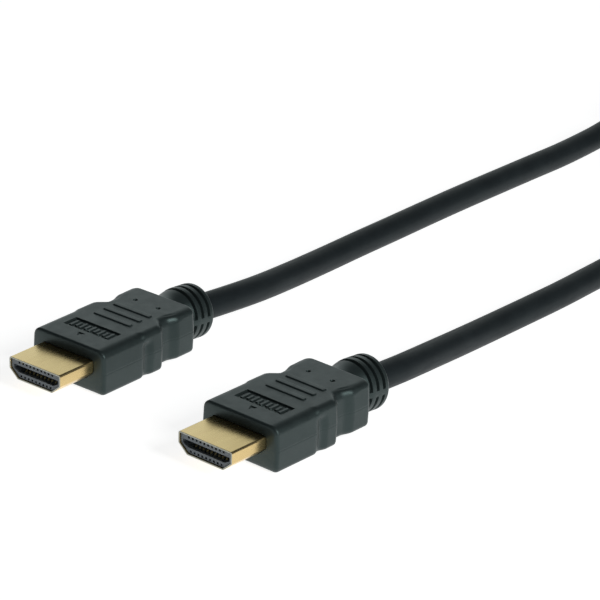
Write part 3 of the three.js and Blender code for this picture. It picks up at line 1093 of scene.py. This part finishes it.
@dataclass(frozen=True)
class Shell:
    """The plated sheet-metal tube with its two slanted lower corners."""

    width: float = 13.9
    height: float = 4.45
    side: float = 2.5
    bottom: float = 9.4
    wall: float = 0.3
    corner: float = 0.5
    reach: float = 9.5
    seat: float = 1.5
    middle: float = 5.1
    lip: float = 0.05
    cut_rows: tuple = (6, 12)
    seat_gap: float = 0.1
    sharp: float = 45.0

    def outline(self, inwards: float, sides: int = 7) -> np.ndarray:
        """The rounded outline of the section, moved inwards.

        Args:
            inwards: The distance, negative for outwards.
            sides: The points on each rounded corner, less one.

        Returns:
            The outline's points about its middle, counter-clockwise.
        """
        half, foot, top = self.width / 2, self.bottom / 2, self.height / 2
        knee = top - self.side
        corners = np.array([
            (-foot, -top), (foot, -top), (half, knee), (half, top), (-half, top), (-half, knee),
        ])
        radius = self.corner
        points = []
        for i, corner in enumerate(corners):
            back = corners[i - 1] - corner
            ahead = corners[(i + 1) % len(corners)] - corner
            back, ahead = back / np.linalg.norm(back), ahead / np.linalg.norm(ahead)
            half_angle = math.acos(float(back @ ahead)) / 2
            way = (back + ahead) / np.linalg.norm(back + ahead)
            centre = corner + way * radius / math.sin(half_angle)
            start = math.atan2(*(corner + back * radius / math.tan(half_angle) - centre)[::-1])
            sweep = math.pi - 2 * half_angle
            for t in np.linspace(start, start + sweep, sides):
                points.append(centre + np.array([math.cos(t), math.sin(t)]) * (radius - inwards))
        return np.array(points)

    def seat_outline(self) -> np.ndarray:
        """The hole for the shell as its middle, then angles and distances about it."""
        loop = self.outline(-self.seat_gap)
        closed = np.column_stack([np.vstack([loop, loop[:1]]), np.zeros(len(loop) + 1)])
        loop = evenly(closed, self.seat_gap)[:-1, :2]
        angle = np.arctan2(loop[:, 1], loop[:, 0])
        order = np.argsort(angle)
        rows = np.column_stack([angle[order], np.hypot(loop[:, 0], loop[:, 1])[order]])
        return np.vstack([[0.0, self.middle], rows])

    def build(self, name: str, place: Matrix, gold: bpy.types.Material,
              edge: bpy.types.Material) -> bpy.types.Object:
        """Makes the tube, with a softened lip at its mouth.

        Args:
            name: The piece's name.
            place: The plug's place in the part's frame.
            gold: The plating.
            edge: The bare cut edge at the mouth.

        Returns:
            The finished piece.
        """
        front = -self.reach
        stations = [(0.0, self.seat), (0.0, -0.5), (0.0, -2.0), (0.0, -5.0), (0.0, -8.0), (0.0, front + 0.3)]
        for t in np.linspace(0.0, math.pi / 2, 4):
            stations.append((self.lip * (1 - math.cos(t)), front + self.lip * (1 - math.sin(t))))
        for t in np.linspace(0.0, math.pi / 2, 4):
            stations.append((self.wall - self.lip * (1 - math.sin(t)), front + self.lip * (1 - math.cos(t))))
        stations += [(self.wall, front + 0.4), (self.wall, self.seat)]
        rows = []
        for inwards, y in stations:
            loop = self.outline(inwards)
            rows.append(np.stack([loop[:, 0], np.full(len(loop), y), loop[:, 1] + self.middle], 1))
        count = len(rows[0])
        rows.append(rows[0])
        points = np.concatenate(rows)
        piece = mesh_object(name, points, grid_faces(len(rows), count))
        dress(piece, gold, edge)
        for face in range(self.cut_rows[0] * count, self.cut_rows[1] * count):
            piece.data.polygons[face].material_index = 1
        finish_mesh(piece, place, self.sharp)
        return piece


@dataclass(frozen=True)
class Contact:
    """One spring contact of the upper row, about the slot's middle."""

    width: float = 0.4
    thickness: float = 0.2
    hole_top: float = 1.645
    clearance: float = 0.08
    bow: float = 0.62
    front: float = -8.27
    bow_start: float = 0.9
    bow_end: float = 5.2
    bow_run: float = 1.5
    back: float = 5.22
    bow_lines: int = 33
    sharp: float = 30.0

    def build(self, name: str) -> bpy.types.Object:
        """Makes the bent strip in millimetres."""
        seat = self.hole_top - self.clearance - self.thickness / 2
        y = np.unique(np.concatenate([
            np.linspace(self.front, self.front + self.bow_end + self.bow_run, self.bow_lines), [self.back],
        ]))
        down = smooth(y, self.front, self.front + self.bow_start)
        up = smooth(y, self.front + self.bow_end, self.front + self.bow_end + self.bow_run)
        z = seat - (seat - self.bow) * down * (1 - up)
        half, thin = self.width / 2, self.thickness / 2
        rows = [
            [(-half, a, b - thin), (half, a, b - thin), (half, a, b + thin), (-half, a, b + thin)]
            for a, b in zip(y, z)
        ]
        faces = grid_faces(len(rows), 4)
        last = (len(rows) - 1) * 4
        faces += [(3, 2, 1, 0), (last, last + 1, last + 2, last + 3)]
        return mesh_object(name, np.array(rows).reshape(-1, 3), faces)


class Side(Enum):
    """Which end of the cable a plug is on, with its place across, along and its turn."""

    A = ("plug_a", -23.58, -13.54, 1.75)
    B = ("plug_b", 24.09, -14.73, 0.0)

    @property
    def label(self) -> str:
        """The name that the plug's nodes begin with."""
        return self.value[0]


@dataclass(frozen=True)
class Finishes:
    """All the materials of the cable."""

    grip: bpy.types.Material
    sheath: bpy.types.Material
    gold: bpy.types.Material
    edge: bpy.types.Material
    resin: bpy.types.Material
    contact: bpy.types.Material
    webbing: bpy.types.Material

    @classmethod
    def make(cls) -> Finishes:
        """Builds every finish once."""
        # The contacts' gold is darker and browner than the shell's plating: painted shade for their place
        # inside the dark slot.
        contact = GoldPlate("contact gold darkened as painted shade", (0.46, 0.37, 0.17), (0.54, 0.44, 0.21), (0.28, 0.36))
        return cls(
            grip=GripPlastic().build(),
            sheath=SheathPlastic().build(),
            gold=GoldPlate().build(),
            edge=CutMetal().build(),
            resin=Resin().build(),
            contact=contact.build(),
            webbing=Webbing().build(),
        )


@dataclass(frozen=True)
class Plug:
    """A whole plug: grip, strain relief, shell, insulator and contacts."""

    side: Side
    grip: Grip = Grip()
    boot: Boot = Boot()
    shell: Shell = Shell()
    contact: Contact = Contact()
    row_pitch: float = 1.0
    upper_count: int = 10
    lower_count: int = 9

    def place(self) -> Matrix:
        """The plug's place: it stands on its lower front edge and on the end of the strain relief."""
        _, across, along, turn = self.side.value
        sag = math.radians(self.boot.sag)
        reach = self.boot.stand
        low_y = self.grip.length - self.boot.root + reach * math.cos(sag) - self.boot.radius * math.sin(sag)
        low_z = self.grip.height / 2 - reach * math.sin(sag) - self.boot.radius * math.cos(sag)
        pitch = math.atan2(-low_z, low_y - self.grip.foot_edge)
        lift = -self.grip.foot_edge * math.sin(pitch)
        return (
            Matrix.Scale(MM, 4)
            @ Matrix.Translation((across, along, 0.0))
            @ Matrix.Rotation(math.radians(turn), 4, "Z")
            @ Matrix.Translation((0.0, 0.0, lift))
            @ Matrix.Rotation(pitch, 4, "X")
        )

    def on_axis(self, along: float) -> Vector:
        """A point on the strain relief's axis, in metres in the part's frame."""
        sag = math.radians(self.boot.sag)
        y = self.grip.length - self.boot.root + along * math.cos(sag)
        z = self.grip.height / 2 - along * math.sin(sag)
        return self.place() @ Vector((0.0, y, z))

    def exit(self) -> Vector:
        """Where the cable leaves the strain relief, in metres."""
        return self.on_axis(self.boot.whole)

    def anchor(self) -> Vector:
        """Where the cable is held inside the strain relief, in metres."""
        return self.on_axis(self.boot.whole - self.boot.end_ring)

    def build(self, frame: dict, finishes: Finishes, rows: GeometryRecipe) -> None:
        """Makes the plug's pieces and dresses the insulator's node.

        Args:
            frame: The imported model.
            finishes: The materials.
            rows: The tree that repeats a contact.
        """
        name, place = self.side.label, self.place()
        body = self.grip.build(f"{name}_grip_body", self.shell.seat_outline(), place)
        dress(body, finishes.grip)
        settle(body, [f"{name}_grip"])
        boot = self.boot.build(f"{name}_strain_relief", self.grip.length, self.grip.height, place)
        dress(boot, finishes.grip)
        settle(boot, [f"{name}_grip"])
        shell = self.shell.build(f"{name}_plated_shell", place, finishes.gold, finishes.edge)
        settle(shell, [f"{name}_shell"])
        strip = self.contact.build(f"{name}_contacts")
        springs = rows.run(
            strip, Pitch=self.row_pitch, Upper_Count=self.upper_count, Lower_Count=self.lower_count,
            Material=finishes.contact,
        )
        finish_mesh(springs, place @ Matrix.Translation((0.0, 0.0, self.shell.middle)), self.contact.sharp)
        count = self.upper_count + self.lower_count
        settle(springs, [f"{name}_contact_{i + 1:02d}" for i in range(count)])
        dress(frame["nodes"][f"{name}_insulator"], finishes.resin)


@dataclass(frozen=True)
class Cable:
    """The sheathed cable from plug to plug, with its spare length in a round coil."""

    diameter: float = 5.8
    length: float = 1.5
    sides: int = 32
    step: float = 1.6
    centre: tuple = COIL_CENTRE
    outer_turn: float = 39.9
    turns: float = 5.5
    pitch: float = 5.9
    low: float = 4.0
    high: float = 9.9
    climb: float = 60.0
    coil_points: int = 1100
    route_a: tuple = (
        (-24.7, 24.75, 5.74), (-24.8, 32.4, 5.45), (-25.8, 44.5, 4.75), (-28, 57.5, 3.85),
        (-30.4, 71.3, 3.15), (-32.3, 85.4, 2.95), (-33.7, 98.9, 2.95), (-35.2, 112.6, 2.95),
        (-36.6, 126.6, 2.95), (-37.8, 140.8, 2.95), (-39, 155.3, 2.95), (-40.2, 170, 2.95),
        (-41.6, 184.4, 3.4), (-42.4, 191.5, 3.85), (-42.5, 197.7, 4),
    )
    route_b: tuple = (
        (24.1, 23.55, 5.74), (23.8, 32.4, 5.5), (22.9, 39.3, 5.05), (21.7, 46.4, 4.45),
        (20.5, 53.8, 3.85), (19.3, 61.3, 3.3), (18.4, 68.4, 2.98), (17.4, 81.8, 2.95),
        (16.3, 95.8, 2.95), (14.6, 111, 2.95), (14.1, 120.9, 3.4), (15.1, 130.9, 4.2),
        (18.3, 141.4, 5.3), (23.2, 152.9, 6.6), (28.6, 164.9, 7.9), (33.4, 176.4, 9.1),
        (36.7, 187.4, 9.8), (37.3, 197.7, 9.9),
    )

    def coil(self) -> np.ndarray:
        """The turns, inwards in the lower layer and outwards in the upper one."""
        turn = np.linspace(0.0, self.turns, self.coil_points)
        middle = self.turns / 2
        radius = self.outer_turn - self.pitch * (middle - np.abs(turn - middle))
        angle = math.pi - 2 * math.pi * turn
        climb = self.climb / 360
        z = self.low + (self.high - self.low) * smooth(turn, middle - climb, middle + climb)
        return np.stack([
            self.centre[0] + radius * np.cos(angle), self.centre[1] + radius * np.sin(angle), z,
        ], 1)

    def centreline(self, inner_a: Vector, inner_b: Vector) -> np.ndarray:
        """The cable's whole centreline in metres.

        Args:
            inner_a: A point inside the first strain relief, in mm.
            inner_b: A point inside the second one, in mm.

        Returns:
            Evenly spaced points from plug A to plug B.
        """
        a = route([tuple(inner_a), *self.route_a], self.step)
        b = route([tuple(inner_b), *self.route_b], self.step)
        return evenly(np.concatenate([a, self.coil(), b[::-1]]), self.step) * MM

    def build(self, plugs: list[Plug], straps: list[bpy.types.Object], finishes: Finishes) -> None:
        """Args:
            plugs: The plugs at its two ends.
            straps: The pieces of the strap on its coil; not used.
            finishes: The materials.
        """
        path = self.centreline(*(plug.anchor() / MM for plug in plugs))
        line = curve_object("sheathed_cable", path)
        cable = tube_recipe().run(
            line, Diameter=self.diameter * MM, Sides=self.sides, Material=finishes.sheath,
        )
        settle(cable, ["cable_run_a", "cable_coil", "cable_run_b"])
        tuple(plugs[0].exit())


@dataclass(frozen=True)
class Strap:
    """The strap round the coil's far side, with its end laid over on top."""

    centre: tuple = COIL_CENTRE
    near: float = 19.8
    far: float = 43.2
    low: float = 0.35
    high: float = 13.15
    corner: float = 3.0
    width: float = 9.8
    thickness: float = 0.6
    flap_thickness: float = 0.4
    flap: tuple = (24.5, 40.0)
    flap_gap: float = 0.02
    step: float = 0.8
    sharp: float = 40.0

    def corner_points(self, y: float, z: float, start: float) -> list[tuple]:
        """The points of one rounded corner, in mm."""
        turns = [math.radians(start + t) for t in np.linspace(0.0, 90.0, 10)]
        return [(self.centre[0], y + self.corner * math.cos(t), z + self.corner * math.sin(t)) for t in turns]

    def build(self, finishes: Finishes, band: GeometryRecipe) -> list[bpy.types.Object]:
        """Makes the strap as a closed band with its end flap on top.

        Args:
            finishes: The materials.
            band: The tree that makes a flat band along a curve.

        Returns:
            The two finished pieces.
        """
        near, far = self.centre[1] + self.near, self.centre[1] + self.far
        r = self.corner
        loop = [
            *self.corner_points(far - r, self.high - r, 0.0),
            *self.corner_points(near + r, self.high - r, 90.0),
            *self.corner_points(near + r, self.low + r, 180.0),
            *self.corner_points(far - r, self.low + r, 270.0),
        ]
        ring = evenly(np.array([*loop, loop[0]]), self.step)[:-1] * MM
        top = self.high + (self.thickness + self.flap_thickness) / 2 + self.flap_gap
        ends = [(self.centre[0], self.centre[1] + y, top) for y in self.flap]
        parts = [
            (curve_object("coil_strap", ring, closed=True), self.thickness),
            (curve_object("strap_flap", evenly(np.array(ends), self.step) * MM), self.flap_thickness),
        ]
        pieces = []
        for line, thickness in parts:
            piece = band.run(line, Width=self.width * MM, Thickness=thickness * MM, Material=finishes.webbing)
            finish_mesh(piece, Matrix.Identity(4), self.sharp)
            settle(piece, ["coil_tie"])
            pieces.append(piece)
        return pieces


def main() -> None:
    """Builds the camera, the cable, the plugs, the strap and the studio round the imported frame."""
    logging.basicConfig(level=logging.INFO, format="%(message)s")
    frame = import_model()
    finishes = Finishes.make()
    PhotoCamera().build()
    plugs = [Plug(Side.A), Plug(Side.B)]
    straps = Strap().build(finishes, band_recipe())
    Cable().build(plugs, straps, finishes)
    rows = rows_recipe()
    for plug in plugs:
        plug.build(frame, finishes, rows)
    Studio().build()


if __name__ == "__main__":
    main()
